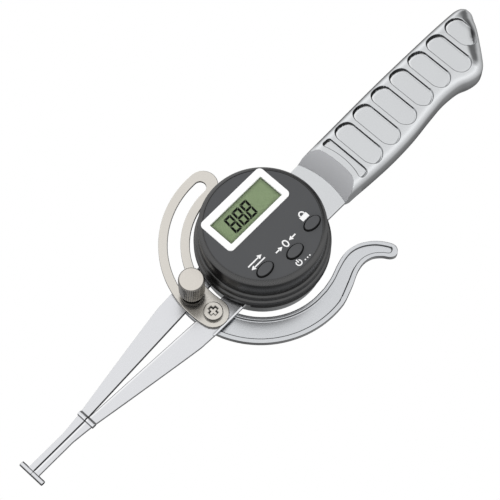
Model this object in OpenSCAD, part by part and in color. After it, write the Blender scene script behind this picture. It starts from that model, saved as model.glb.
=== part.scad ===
// Digital inside caliper: two legs on one pivot, a slotted quadrant with a lock
// knob, a finger lever, a round display head and a cast handle.
// The legs point along -X, the handle along +X, the display faces +Z, and the
// origin is on the pivot axis at the face that the caliper rests on.

/* [Base and handle] */
// Height of the round base under the display head
base_h = 9; // [8.6:0.2:9.4]
// Radius of the round base
base_r = 28.1; // [27.6:0.1:28.4]
// Height of the thin neck's underside
neck_low = 6.4; // [6:0.1:6.6]
// Thickness of the grip
grip_h = 16.5; // [15.5:0.5:17.5]
// Depth of the pockets in the grip
pocket_depth = 2; // [1:0.25:2.5]
// Number of full pockets along the grip
pocket_count = 7; // [5:1:7]
// Distance from one pocket to the next
pocket_pitch = 12.23; // [11.5:0.01:12.4]
// Width of a pocket
pocket_w = 9.9; // [8:0.1:10.2]
// Radius at which the grip's sloped front starts, from the pivot
slope_r = 41.5; // [40:0.5:43]
// Radius of the grip's top edges
grip_edge_top = 5.5; // [4:0.5:6]
// Radius of the grip's bottom edges
grip_edge_low = 4.5; // [3:0.5:5]

/* [Legs] */
// Thickness of a leg
leg_t = 1.8; // [1.5:0.1:1.8]
// Distance from the pivot to the centre of the contact pins
tip_x = 141.2; // [130:0.2:145]
// Half of the outside width over the two contact pins, legs closed
tip_reach = 6.6; // [5:0.1:8]
// Radius of a contact pin
tip_pin_r = 1.2; // [0.8:0.1:1.2]
// Half width of a leg's tip blade at the pins
blade_w = 2.9; // [2.2:0.1:3.2]
// Half of the gap between the closed legs
leg_gap = 0.15; // [0.15:0.05:0.3]
// Line along which the closed legs meet, from the pivot along Y
leg_line = -0.35; // [-0.4:0.05:0]
// Outer half width at the root of the legs
root_w = 13.5; // [12:0.1:13.5]
// Distance from the pivot to the rib across each leg
rib_x = 109; // [100:1:112]

/* [Quadrant] */
// Radius of the slot's middle line, where knob and screw sit
slot_r = 38.6; // [38.4:0.1:38.8]
// Width of the slot
slot_w = 5.6; // [5.5:0.1:5.8]
// Radial width of the quadrant plate
quadrant_w = 13.8; // [13:0.1:14]
// Thickness of the quadrant plate
quadrant_t = 1.5; // [1:0.1:1.8]
// Angle of the screw that holds the quadrant to the fixed leg
screw_angle = 189.8; // [189:0.1:191]
// Angle at which the slot starts, beside the knob
slot_start = 172.5; // [172.3:0.1:173]
// Angle at which the slot ends
slot_end = 88.6; // [85:0.1:89.5]
// Angle of the lock knob with the legs closed
knob_angle = 171.3; // [171:0.1:171.6]

/* [Lever] */
// Inside radius of the lever's arc
lever_in = 32.8; // [32.6:0.1:33.2]
// Outside radius of the lever's arc
lever_out = 45.2; // [44.9:0.1:45.5]
// Height of the lever's underside
lever_low = 3; // [2:0.1:4]
// Height of the lever's top
lever_top = 6.1; // [5.5:0.1:6.1]
// Depth of the channel between the lever's rims
channel_depth = 1.2; // [0.6:0.1:2]

/* [Display head] */
// Radius of the lower case
head_r = 30; // [29.8:0.1:30.2]
// Radius of the upper case
head_top_r = 27.9; // [27.8:0.1:28.1]
// Height of the head's top edge
head_top = 30.5; // [30.5:0.1:31.5]
// Height of the joint between the two cases
split_z = 18.4; // [18.2:0.1:18.8]
// Radius of the face plate
face_r = 25.6; // [25.4:0.1:25.7]
// Length of the display frame
frame_l = 37.8; // [37:0.1:38]
// Width of the display frame
frame_w = 18.7; // [18:0.1:18.8]
// Length of the display window
window_l = 31.8; // [28:0.1:32.4]
// Width of the display window
window_w = 12.8; // [10:0.1:13.4]
// Middle of the display frame, from the pivot along Y
frame_y = 10.3; // [10:0.1:10.4]
// Middle of the display window, from the pivot along Y
window_y = 9.8; // [9.5:0.1:10]

/* [Buttons] */
// Length of an oval button
button_l = 8.8; // [7:0.1:9]
// Width of an oval button
button_w = 5.2; // [4:0.1:5.6]
// Height of a button above the face
button_up = 1.2; // [1:0.1:1.6]
// Clearance round a button
button_gap = 0.25; // [0.2:0.05:0.35]

/* [Pivot and lock knob] */
// Radius of the pivot shaft
shaft_r = 4; // [3.5:0.1:4.5]
// Running clearance of the shaft in its bush, on the radius
shaft_gap = 0.04; // [0.02:0.01:0.08]
// Radius of the moving leg's hub
hub_r = 17; // [16:0.5:17]
// Radius of the lock knob
knob_r = 5.7; // [5:0.1:5.7]
// Height of the knob's underside
knob_low = 14.5; // [14:0.5:16]
// Height of the knob's top
knob_top = 27; // [24:0.5:28]
// Number of teeth in the knob's knurl
knurl_teeth = 44; // [24:2:60]

/* [Hidden] */
$fn = 96;
cut = 0.5;
leg_low = 6.7;
leg_top = leg_low + leg_t;
swing_low = 6.4;
swing_top = swing_low + leg_t;
tip_pin_z = 7.45;
pocket_floor = 6.1;
swing_from = 48;
notch_from = 68;
notch_to = 213;
face_low = head_top - 0.9;
face_top = head_top - 0.2;
deck_low = face_low - 1.6;
floor_top = 12.8;
button_places = [[-14.5, -14.9], [0.2, -18.5], [14.8, -15]];
unit_screw_angles = [262, 321, 20];
unit_screw_r = 21.5;
case_screw_angles = [8, 172, 248];
case_screw_r = 24;
leg_screw_places = [[-24, -8.2], [-19.4, -10.9]];
leg_dowel_place = [-19.6, -6.5];
rivet_places = [[43, 169.5], [35.6, 166.5]];
steel = [0.87, 0.87, 0.88];
nickel = [0.86, 0.84, 0.8];
cast = [0.8, 0.81, 0.82];
black = [0.13, 0.13, 0.14];

// Edges of the handle seen from above, as x and y, with the neck at the left
far_edge = [
    [18, 14.6], [36, 14.6], [60, 14.9], [90, 15.3], [120, 15], [138, 14.4], [146, 13.6], [149.6, 11]
];
near_edge = [
    [18, -12.8], [42, -12.9], [56, -13.8], [70, -14.4], [84, -14], [97, -12.6], [107, -11.8], [116, -12.6],
    [121, -14.5], [125.2, -15.5], [129.2, -15.1], [133.6, -12.4], [140.7, -4.4], [146.6, 2.8], [149.6, 8.2]
];
// Free part of the lever past its arc: the side next to the head, then the outer side coming back
hook_in = [
    [4, -32.7], [10, -31.6], [16, -29.6], [21, -28.4], [25.5, -28.4], [30.6, -30], [35.6, -33.7],
    [39, -38.1], [40.4, -41.6]
];
hook_tip = [[39.5, -44.2], [37, -45.3], [34.7, -44.1]];
hook_out = [[32.6, -41.1], [29.4, -38.4], [25, -37.3], [19.9, -38.2], [13.8, -40.8], [7, -43.2]];
groove_in = [
    [4, -34.4], [10, -33.3], [16, -31.4], [21, -30.2], [25.5, -30.1], [30.1, -31.7], [34.5, -35.1],
    [37.4, -39.2]
];
groove_out = [
    [38.3, -41.7], [36.2, -42.5], [34, -39.9], [30.5, -36.9], [25.5, -35.3], [19.9, -36], [13.9, -38.3],
    [7, -40.9]
];

// Point of a smooth curve between p1 and p2
function between(p0, p1, p2, p3, t) =
    let (
        a = p2 - p0,
        b = 2 * p0 - 5 * p1 + 4 * p2 - p3,
        c = 3 * p1 - p0 - 3 * p2 + p3
    )
    0.5 * (2 * p1 + a * t + b * t * t + c * t * t * t);

// Smooth curve through points, with k steps from one to the next
function smooth(p, k) =
    let (n = len(p) - 1)
    concat(
        [for (i = [0 : n - 1]) for (j = [0 : k - 1])
            between(p[max(i - 1, 0)], p[i], p[i + 1], p[min(i + 2, n)], j / k)],
        [p[n]]
    );

function polar(r, a) = [r * cos(a), r * sin(a)];

function arc(r, from, to, steps) = [for (i = [0 : steps]) polar(r, from + (to - from) * i / steps)];

// Arc whose radius changes evenly from r0 to r1
function fading_arc(r0, r1, from, to, steps) =
    [for (i = [0 : steps]) let (f = i / steps) polar(r0 + (r1 - r0) * f, from + (to - from) * f)];

function oval(l, w) = [for (a = [0 : 9 : 351]) [l / 2 * cos(a), w / 2 * sin(a)]];

// Ring sector with a rectangular section
module sector(r_in, r_out, low, high, from, to) {
    rotate([0, 0, from])
        rotate_extrude(angle = to - from)
            translate([r_in, low])
                square([r_out - r_in, high - low]);
}

module disc(r, low, high) {
    translate([0, 0, low])
        cylinder(r = r, h = high - low);
}

module ring(r_in, r_out, low, high) {
    difference() {
        disc(r_out, low, high);
        disc(r_in, low - cut, high + cut);
    }
}

// Rectangle with round corners, in the plane
module round_rect(size, r) {
    square([size[0] - 2 * r, size[1]], center = true);
    square([size[0], size[1] - 2 * r], center = true);
    for (x = [-1, 1], y = [-1, 1])
        translate([x * (size[0] / 2 - r), y * (size[1] / 2 - r)])
            circle(r = r);
}

module plate(size, r, low, high) {
    translate([0, 0, low])
        linear_extrude(high - low)
            round_rect(size, r);
}

// Section of the handle at one distance from the pivot: a rectangle with round corners
corner_steps = 5;
grip_steps = 44;
grip_from = 18;
grip_to = 149.4;
far_table = smooth(far_edge, 6);
near_table = smooth(near_edge, 6);
function end_drop(x) = x < 138 ? 0 : 3.2 * pow((x - 138) / (grip_to - 138), 2.4);
function corner(cy, cz, r, from) =
    [for (i = [0 : corner_steps]) let (a = from + 90 * i / corner_steps) [cy + r * cos(a), cz + r * sin(a)]];
function section(x) =
    let (
        far = lookup(x, far_table),
        near = lookup(x, near_table),
        top = grip_h - end_drop(x),
        low = 0.6 * end_drop(x),
        rt = min(grip_edge_top, 0.45 * (far - near)),
        rl = min(grip_edge_low, 0.45 * (far - near))
    )
    concat(
        corner(far - rt, top - rt, rt, 0), corner(near + rt, top - rt, rt, 90),
        corner(near + rl, low + rl, rl, 180), corner(far - rl, low + rl, rl, 270)
    );

// Handle and neck as one smooth bar, before its sloped fronts and pockets are cut
module grip_bar() {
    ring_n = 4 * (corner_steps + 1);
    // The steps are closer together towards the free end
    shares = [for (i = [0 : grip_steps]) let (f = i / grip_steps) 1.35 * f - 0.35 * f * f];
    stations = [for (f = shares) grip_from + (grip_to - grip_from) * f];
    points = [for (x = stations) for (p = section(x)) [x, p[0], p[1]]];
    sides = [for (i = [0 : grip_steps - 1]) for (j = [0 : ring_n - 1])
        let (a = i * ring_n + j, b = i * ring_n + (j + 1) % ring_n, c = b + ring_n, d = a + ring_n)
        each [[a, c, b], [a, d, c]]];
    start_cap = [[for (j = [0 : ring_n - 1]) j]];
    end_cap = [[for (j = [ring_n - 1 : -1 : 0]) grip_steps * ring_n + j]];
    polyhedron(points = points, faces = concat(sides, start_cap, end_cap));
}

// Pocket with round ends that runs across the grip
module grip_pocket(x, low_y, high_y, low, high) {
    r = pocket_w / 2;
    translate([x, 0, low])
        linear_extrude(high - low) {
            translate([-r, low_y + r])
                square([pocket_w, high_y - low_y - pocket_w]);
            translate([0, low_y + r])
                circle(r = r);
            translate([0, high_y - r])
                circle(r = r);
        }
}

// Narrow pocket behind the slope, with one curved side
module first_pocket(low, high) {
    translate([0, 0, low])
        linear_extrude(high - low)
            polygon(concat([[55.4, 10.9], [54.6, 11.7], [51.8, 11.7], [51, 10.9]],
                [for (a = [19 : -2 : -19]) [19.5 + 33 * cos(a), 33 * sin(a)]],
                [[51, -11.2], [51.8, -12], [54.6, -12], [55.4, -11.2]]));
}

// Ends of the full pockets across the grip, nearest the head first
pocket_low = [-12.2, -11.8, -10.6, -9.8, -9.4, -11.2, -4.4];
pocket_high = [12.7, 13, 13.1, 13, 12.8, 12.4, 11.8];
first_pocket_x = 62.7;

module grip_pockets(low, high) {
    for (i = [0 : pocket_count - 1])
        grip_pocket(first_pocket_x + i * pocket_pitch, pocket_low[i], pocket_high[i], low, high);
    first_pocket(low, high);
}

// Space above and below the neck, up to the grip's sloped fronts
module neck_cuts() {
    rise = grip_h - base_h + 1;
    fall = neck_low + 1;
    rotate_extrude() {
        polygon([[0, base_h], [slope_r, base_h], [slope_r + 1.04 * rise, base_h + rise], [0, base_h + rise]]);
        polygon([[0, neck_low], [slope_r, neck_low], [slope_r + 1.04 * fall, neck_low - fall],
            [0, neck_low - fall]]);
    }
}

module handle() {
    difference() {
        grip_bar();
        neck_cuts();
        // The pocket floors follow the crown of the grip
        difference() {
            grip_pockets(grip_h / 2, grip_h + cut);
            translate([0, 0, -pocket_depth])
                grip_bar();
        }
        grip_pockets(-cut, 0.75 * pocket_depth);
    }
}

module body_casting() {
    color(cast)
        difference() {
            union() {
                handle();
                disc(base_r, 0, base_h);
            }
            // Room for the hub and for the swing of the moving leg
            disc(hub_r + 0.6, pocket_floor, base_h + cut);
            sector(hub_r, base_r + 1, pocket_floor, base_h + cut, swing_from, 181);
            // Slot that the fixed leg sits in
            translate([0, 0, leg_low])
                linear_extrude(base_h)
                    translate([0, leg_line])
                        mirror([0, 1])
                            leg_outline(15.9);
            // Annular room for the return spring
            ring(8.2, 15.8, 2.6, pocket_floor + cut);
            // Seat of the bush, and the recess on the back for clip and cap
            disc(6, -cut, pocket_floor + cut);
            disc(9, -cut, 2.2);
            for (a = unit_screw_angles)
                translate(polar(unit_screw_r, a)) {
                    disc(1.65, -cut, base_h + cut);
                    disc(3.1, -cut, 3.2);
                }
            for (p = leg_screw_places)
                translate(p)
                    disc(1.25, 2.4, base_h);
            translate(leg_dowel_place)
                disc(1, 3, base_h);
        }
}

module pivot_bush() {
    color([0.72, 0.55, 0.3])
        ring(shaft_r + shaft_gap, 6, 2.2, pocket_floor);
}

module pivot_cap() {
    color(cast)
        difference() {
            disc(9, 0, 0.8);
            ring(6.2, 7, -cut, 0.3);
        }
}

// Flat spiral spring under the hub
module return_spring() {
    turns = 5;
    strip = 0.4;
    inner = 10;
    pitch = (15.8 - strip - inner) / turns;
    steps = 24 * turns;
    side_a = [for (i = [0 : steps]) polar(inner + pitch * i / 24, 15 * i)];
    side_b = [for (i = [steps : -1 : 0]) polar(inner + strip + pitch * i / 24, 15 * i)];
    color([0.45, 0.46, 0.5])
        rotate([0, 0, 200])
            translate([0, 0, 3])
                linear_extrude(2.8)
                    polygon(concat(side_a, side_b));
}

// Outline of a leg on the +Y side, from its root to its tip
module leg_outline(root_x) {
    taper_x = rib_x - 1.5;
    polygon([
        [-root_x, 4.7], [-taper_x, leg_gap], [-tip_x + 0.9, leg_gap], [-tip_x + 0.9, blade_w],
        [-rib_x - 11, blade_w], [-rib_x - 6, blade_w + 0.5], [-rib_x - 1, 4.1], [-86, 7.9], [-56, 12.6],
        [-50, 13.2], [-44, root_w], [-root_x, root_w]
    ]);
}

// Raised rib across a leg, with its ends standing a little proud
module leg_rib(top) {
    translate([-rib_x, leg_gap, top - 0.3])
        rotate([-90, 0, 0])
            cylinder(r = 1.1, h = 4.35);
}

module tip_pin_shape(z) {
    length = tip_reach - tip_pin_r - leg_gap;
    translate([-tip_x, leg_gap, z])
        rotate([-90, 0, 0]) {
            cylinder(r = tip_pin_r, h = length);
            translate([0, 0, length])
                sphere(r = tip_pin_r);
        }
}

module leg_blank(low, top, root_x) {
    difference() {
        union() {
            translate([0, 0, low])
                linear_extrude(top - low)
                    leg_outline(root_x);
            leg_rib(top);
        }
        tip_pin_shape(tip_pin_z);
    }
}

module fixed_leg() {
    color(steel)
        difference() {
            translate([0, leg_line, 0])
                mirror([0, 1, 0])
                    leg_blank(leg_low, leg_top, 16);
            disc(hub_r + 1.6, leg_low - cut, leg_top + cut);
            for (p = leg_screw_places)
                translate(p)
                    disc(1.4, leg_low - cut, leg_top + cut);
            translate(leg_dowel_place)
                disc(1, leg_low - cut, leg_top + cut);
            translate(polar(slot_r, screw_angle))
                disc(1.5, leg_low - cut, leg_top + cut);
        }
}

module fixed_tip_pin() {
    color("lightgrey")
        translate([0, leg_line, 0])
            mirror([0, 1, 0])
                tip_pin_shape(tip_pin_z);
}

module leg_screws() {
    color("dimgrey")
        for (p = leg_screw_places)
            translate(p)
                difference() {
                    union() {
                        disc(1.25, 2.6, leg_top);
                        disc(2.3, leg_top, leg_top + 1.7);
                    }
                    translate([0, 0, leg_top + 0.8])
                        cylinder(r = 1.15, h = 2, $fn = 6);
                }
}

module leg_dowel() {
    color("silver")
        translate(leg_dowel_place)
            disc(1, 3.2, leg_top);
}

// Curved band round the pivot with round ends, in the plane
function band(half, from, to) =
    let (steps = round((to - from) / 2))
    concat(
        arc(slot_r + half, from, to, steps),
        [for (b = [15 : 15 : 165]) polar(slot_r, to) + polar(half, to + b)],
        arc(slot_r - half, to, from, steps),
        [for (b = [15 : 15 : 165]) polar(slot_r, from) + polar(half, from + 180 + b)]
    );

module quadrant_plate() {
    low = leg_top;
    high = leg_top + quadrant_t;
    color(nickel)
        difference() {
            translate([0, 0, low])
                linear_extrude(high - low)
                    polygon(band(quadrant_w / 2, slot_end - 2.5, screw_angle));
            translate([0, 0, low - cut])
                linear_extrude(high - low + 2 * cut)
                    polygon(band(slot_w / 2, slot_end, slot_start));
            translate(polar(slot_r, screw_angle))
                disc(1.6, low - cut, high + cut);
        }
}

module quadrant_screw() {
    head_z = leg_top + quadrant_t;
    color(nickel)
        translate(polar(slot_r, screw_angle))
            difference() {
                union() {
                    disc(1.5, leg_low + 0.1, head_z);
                    disc(4.25, head_z, head_z + 1.6);
                    translate([0, 0, head_z + 1.6])
                        cylinder(r1 = 4.25, r2 = 3.75, h = 0.4);
                }
                for (a = [0, 90])
                    rotate([0, 0, a])
                        translate([-1.9, -0.6, head_z + 0.9])
                            cube([3.8, 1.2, 2]);
            }
}

module lower_case() {
    shoulder = split_z - 0.2;
    waist = base_h + 6.3;
    color(black)
        difference() {
            rotate_extrude()
                polygon(concat(
                    [[8.5, base_h], [head_r - 0.3, base_h], [head_r, base_h + 0.3], [head_r, base_h + 5.7],
                        [head_r - 0.5, base_h + 6.1]],
                    [for (a = [0 : 15 : 75])
                        [head_top_r + 1.3 * cos(a), waist + (shoulder - waist) * sin(a)]],
                    [[head_top_r + 0.1, shoulder], [26.2, shoulder], [26.2, floor_top], [21.6, floor_top],
                        [21.6, 16.4], [20.4, 16.4], [20.4, floor_top], [8.5, floor_top]]
                ));
            // Window in the skirt over the swing of the leg
            sector(0.1, head_r + 1, base_h - cut, base_h + 2, notch_from, notch_to);
            // Room for the heads of the fixed leg's screws
            for (p = leg_screw_places)
                translate(p)
                    disc(2.6, base_h - cut, leg_top + 2);
            for (a = unit_screw_angles)
                translate(polar(unit_screw_r, a))
                    disc(1.5, base_h - cut, floor_top - 0.5);
            for (a = case_screw_angles)
                translate(polar(case_screw_r, a)) {
                    disc(1.15, base_h - cut, floor_top + cut);
                    disc(2.1, base_h - cut, floor_top - 0.6);
                }
        }
}

module case_seal() {
    color([0.05, 0.05, 0.05])
        ring(26.6, head_top_r - 0.4, split_z - 0.2, split_z + 0.2);
}

// Openings that the deck and the face plate share for the buttons
module button_holes(low, high) {
    for (p = button_places)
        translate([p[0], p[1], low])
            linear_extrude(high - low)
                polygon(oval(button_l + 2 * button_gap, button_w + 2 * button_gap));
}

module upper_case() {
    low = split_z + 0.2;
    wall = 26.3;
    rim = face_r + 0.1;
    color(black)
        difference() {
            union() {
                rotate_extrude()
                    polygon([
                        [wall, low], [head_top_r, low], [head_top_r, head_top - 2],
                        [head_top_r - 0.2, head_top - 1.5], [rim + 0.6, head_top - 0.1],
                        [rim + 0.3, head_top], [rim, head_top], [rim, face_low], [0, face_low], [0, deck_low],
                        [wall, deck_low]
                    ]);
                for (a = case_screw_angles)
                    translate(polar(case_screw_r, a)) {
                        disc(2, floor_top, 24);
                        disc(2.9, 24, deck_low + 0.1);
                    }
            }
            button_holes(deck_low - cut, face_low + cut);
            translate([0, window_y, 0])
                plate([36.6, 17.4], 1.2, deck_low - cut, face_low + cut);
            // Room in the rim for the corners of the display frame
            translate([0, frame_y, 0])
                plate([frame_l + 0.1, frame_w + 0.1], 2.2, face_low - 0.05, head_top + cut);
            for (a = case_screw_angles)
                translate(polar(case_screw_r, a))
                    disc(1, floor_top - cut, 25);
        }
}

module face_plate() {
    color([0.31, 0.32, 0.33])
        difference() {
            disc(face_r, face_low, face_top);
            button_holes(face_low - cut, face_top + cut);
            translate([0, frame_y, 0])
                plate([frame_l + 0.1, frame_w + 0.1], 2.2, face_low - cut, face_top + cut);
        }
}

module lcd_frame() {
    color("white")
        difference() {
            union() {
                translate([0, frame_y, 0])
                    plate([frame_l, frame_w], 2.2, face_low, face_top + 0.4);
                translate([0, window_y, 0])
                    plate([36.2, 17], 1, deck_low - 1.5, face_low + 0.1);
            }
            translate([0, window_y, 0]) {
                plate([window_l, window_w], 0.4, face_low - cut, head_top + cut);
                plate([34.4, 15.2], 0.4, deck_low - 2, face_low);
            }
        }
}

module window_lens() {
    color([0.9, 0.95, 0.92, 0.4])
        translate([0, window_y, 0])
            plate([window_l - 0.1, window_w - 0.1], 0.35, face_low, face_low + 0.5);
}

module lcd_panel() {
    color([0.56, 0.63, 0.48])
        translate([0, window_y, 0])
            plate([34.2, 15], 0.3, deck_low - 1.2, face_low);
}

module contact_strips() {
    color("hotpink")
        for (y = [-6, 6])
            translate([-15, window_y + y - 0.8, 24])
                cube([30, 1.6, deck_low - 25.2]);
}

module circuit_board() {
    color("darkgreen")
        difference() {
            union() {
                disc(25.5, 22.5, 24);
                translate([-7, -10, 24])
                    cube([9, 9, 1.2]);
                translate([6, -8, 24])
                    cube([6, 3, 1]);
            }
            for (a = case_screw_angles)
                translate(polar(case_screw_r, a))
                    disc(2.3, 22, 25);
        }
}

module button_pad() {
    color("gainsboro")
        difference() {
            union() {
                translate([0, -17, 0])
                    plate([41, 11], 3, 24, 24.7);
                for (p = button_places)
                    translate([p[0], p[1], 24.5]) {
                        cylinder(r1 = 3.4, r2 = 2.4, h = 1);
                        cylinder(r = 1.6, h = 1.3);
                    }
            }
            ring(25.2, 60, 23, 27);
            for (a = case_screw_angles)
                translate(polar(case_screw_r, a))
                    disc(3.2, 23, 27);
        }
}

module encoder_stator() {
    color("seagreen")
        ring(8, 21.6, 16.4, 17.4);
}

module coin_cell() {
    color("silver")
        translate([0, -9, 0]) {
            disc(10, 18, 20.8);
            disc(8.8, 20.8, 21.2);
        }
}

module battery_holder() {
    color([0.15, 0.15, 0.16])
        translate([0, -9, 0])
            difference() {
                union() {
                    ring(10.1, 11.5, 17.4, 21);
                    for (a = [0, 90, 180, 270])
                        rotate([0, 0, a])
                            translate([6, -1, 17.4])
                                cube([4.6, 2, 0.6]);
                }
                disc(5, 17, 18.5);
            }
}

module battery_clip() {
    color([0.85, 0.75, 0.5])
        translate([0, -9, 0]) {
            translate([-9, -2, 21.2])
                cube([18, 4, 0.3]);
            translate([-9, -2, 21.5])
                cube([0.4, 4, 1]);
        }
}

module case_screws() {
    color("dimgrey")
        for (a = case_screw_angles)
            translate(polar(case_screw_r, a))
                difference() {
                    union() {
                        disc(1, floor_top - 0.6, 24);
                        disc(1.9, floor_top - 1.6, floor_top - 0.6);
                    }
                    for (b = [0, 90])
                        rotate([0, 0, b])
                            translate([-1.2, -0.25, floor_top - 2.2])
                                cube([2.4, 0.5, 1]);
                }
}

module unit_screws() {
    color("silver")
        for (a = unit_screw_angles)
            translate(polar(unit_screw_r, a))
                difference() {
                    union() {
                        disc(1.5, 3.2, 12);
                        disc(2.8, 0.8, 3.2);
                    }
                    translate([0, 0, -0.2])
                        cylinder(r = 1.45, h = 2.2, $fn = 6);
                }
}

module moving_leg() {
    color(steel)
        difference() {
            union() {
                translate([0, leg_line, 0])
                    leg_blank(swing_low, swing_top, 10);
                disc(hub_r, swing_low, swing_top);
            }
            disc(shaft_r + 0.02, swing_low - cut, swing_top + cut);
            translate(polar(9.3, 200))
                disc(0.6, swing_low - cut, swing_top + cut);
            translate(polar(slot_r, knob_angle))
                disc(2.02, swing_low - cut, swing_top + cut);
            for (p = rivet_places)
                translate(polar(p[0], p[1])) {
                    disc(1.3, swing_low - cut, swing_top + cut);
                    translate([0, 0, swing_top - 1])
                        cylinder(r1 = 1.3, r2 = 2.3, h = 1);
                }
        }
}

module moving_tip_pin() {
    color("lightgrey")
        translate([0, leg_line, 0])
            tip_pin_shape(tip_pin_z);
}

// Plan of the lever: an arc round the pivot that runs out into a finger hook
function lever_plan() =
    concat(
        arc(lever_in, 165, 268, 30),
        smooth(concat(hook_in, hook_tip, hook_out), 4),
        fading_arc(lever_out - 1.2, lever_out, 276, 200, 24),
        arc(lever_out, 196, 165, 8)
    );

function channel_plan() =
    concat(
        arc(lever_in + 1.75, 184, 268, 24),
        smooth(concat(groove_in, groove_out), 4),
        fading_arc(lever_out - 3.3, lever_out - 2, 276, 200, 24),
        arc(lever_out - 2, 196, 184, 4)
    );

module trigger_lever() {
    color([0.8, 0.81, 0.82])
        difference() {
            union() {
                translate([0, 0, lever_low])
                    linear_extrude(lever_top - lever_low)
                        polygon(lever_plan());
                // Raised seat under the moving leg
                sector(lever_in + 0.6, lever_out - 0.6, lever_top - 0.3, swing_low, 165.6, 174.5);
            }
            translate([0, 0, lever_top - channel_depth])
                linear_extrude(channel_depth + cut)
                    polygon(channel_plan());
            translate(polar(slot_r, knob_angle))
                disc(2.02, lever_low - cut, swing_low + cut);
            for (p = rivet_places)
                translate(polar(p[0], p[1]))
                    disc(1.3, lever_low - cut, swing_low + cut);
        }
}

module lever_rivets() {
    color("silver")
        for (p = rivet_places)
            translate(polar(p[0], p[1])) {
                disc(1.3, lever_low, swing_top);
                translate([0, 0, swing_top - 1])
                    cylinder(r1 = 1.3, r2 = 2.3, h = 1);
            }
}

module pivot_shaft() {
    color("silver")
        difference() {
            union() {
                disc(shaft_r, 1.1, swing_top);
                disc(6.5, swing_top, swing_top + 0.5);
                disc(2.5, swing_top + 0.5, 16.9);
            }
            ring(3.2, 5, 1.5, 2);
        }
}

module thrust_washer() {
    color("goldenrod")
        ring(shaft_r, 7.4, pocket_floor + 0.1, swing_low);
}

module shaft_clip() {
    color("dimgrey")
        difference() {
            ring(3.22, 6, 1.52, 1.98);
            translate([0, -1.2, 1])
                cube([8, 2.4, 2]);
        }
}

module spring_pin() {
    color("silver")
        translate(polar(9.3, 200))
            disc(0.6, 3.2, swing_top);
}

module encoder_rotor() {
    color([0.35, 0.5, 0.45])
        difference() {
            union() {
                disc(19.4, 14.6, 15.6);
                disc(5, 13.6, 14.6);
            }
            disc(2.52, 13, 16);
            for (a = [0 : 30 : 330])
                rotate([0, 0, a])
                    translate([12, -1.2, 15.2])
                        cube([5.5, 2.4, 1]);
        }
}

module rotor_nut() {
    color("goldenrod")
        difference() {
            translate([0, 0, 15.6])
                cylinder(r = 4.2, h = 1.1, $fn = 6);
            disc(2.52, 15, 18);
        }
}

module lock_stud() {
    color("silver")
        translate(polar(slot_r, knob_angle)) {
            disc(2, lever_low + 0.2, swing_top);
            disc(2.45, swing_top, leg_top + quadrant_t + 0.1);
            disc(2, leg_top + quadrant_t + 0.1, knob_top - 2.5);
        }
}

module lock_washer() {
    low = leg_top + quadrant_t + 0.2;
    color(nickel)
        translate(polar(slot_r, knob_angle))
            ring(2, 5, low, low + 0.8);
}

// Knurled thumb nut with a short collar below
module lock_knob() {
    tooth = 0.22;
    collar_low = leg_top + quadrant_t + 1.3;
    color(nickel)
        translate(polar(slot_r, knob_angle))
            difference() {
                union() {
                    disc(3.6, collar_low, knob_low);
                    disc(knob_r - 0.35, knob_low, knob_low + 0.5);
                    translate([0, 0, knob_low + 0.5])
                        linear_extrude(knob_top - knob_low - 0.9)
                            polygon([for (i = [0 : 2 * knurl_teeth - 1])
                                polar(knob_r - tooth * (i % 2), 180 * i / knurl_teeth)]);
                    disc(knob_r - 0.35, knob_top - 0.4, knob_top);
                }
                disc(2.05, collar_low - cut, knob_top - 2.2);
            }
}

// Oval button with a flange that keeps it in the case
module button(place) {
    color([0.3, 0.31, 0.32])
        translate([place[0], place[1], 0]) {
            translate([0, 0, deck_low - 0.4])
                linear_extrude(face_top + button_up - deck_low + 0.4)
                    polygon(oval(button_l, button_w));
            translate([0, 0, deck_low - 1.1])
                linear_extrude(0.8)
                    polygon(oval(button_l + 1.6, button_w + 1.6));
        }
}

module unit_button() { button(button_places[0]); }

module zero_button() { button(button_places[1]); }

module hold_button() { button(button_places[2]); }

body_casting();
pivot_bush();
pivot_cap();
return_spring();
fixed_leg();
fixed_tip_pin();
leg_screws();
leg_dowel();
quadrant_plate();
quadrant_screw();
lower_case();
case_seal();
upper_case();
face_plate();
lcd_frame();
window_lens();
lcd_panel();
contact_strips();
circuit_board();
button_pad();
encoder_stator();
coin_cell();
battery_holder();
battery_clip();
case_screws();
unit_screws();
moving_leg();
moving_tip_pin();
trigger_lever();
lever_rivets();
pivot_shaft();
thrust_washer();
shaft_clip();
spring_pin();
encoder_rotor();
rotor_nut();
lock_stud();
lock_washer();
lock_knob();
unit_button();
zero_button();
hold_button();
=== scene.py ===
"""Looks of the digital inside caliper: detailed surfaces, materials, light and camera.

Lengths are millimetres in the part's own frame, unless a name says otherwise; MM turns them into metres.
"""

import math

import bmesh
import bpy
import numpy as np
from mathutils import Matrix, Vector
from mathutils.geometry import delaunay_2d_cdt


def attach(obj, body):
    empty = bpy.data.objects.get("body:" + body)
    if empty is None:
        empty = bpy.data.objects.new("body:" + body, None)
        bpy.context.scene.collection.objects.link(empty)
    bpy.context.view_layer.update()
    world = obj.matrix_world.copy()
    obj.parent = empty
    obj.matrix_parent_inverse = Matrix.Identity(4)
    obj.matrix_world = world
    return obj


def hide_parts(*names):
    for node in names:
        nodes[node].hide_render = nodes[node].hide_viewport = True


MM = 0.001

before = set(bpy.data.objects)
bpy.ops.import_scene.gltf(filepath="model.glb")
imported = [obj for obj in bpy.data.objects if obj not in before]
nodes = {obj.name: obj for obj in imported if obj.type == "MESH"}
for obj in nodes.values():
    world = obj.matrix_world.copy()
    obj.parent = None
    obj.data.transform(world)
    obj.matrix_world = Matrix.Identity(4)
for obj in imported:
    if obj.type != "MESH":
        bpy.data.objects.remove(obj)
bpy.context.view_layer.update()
scene = bpy.context.scene
scene.view_settings.view_transform = "Standard"


# Node trees

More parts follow.
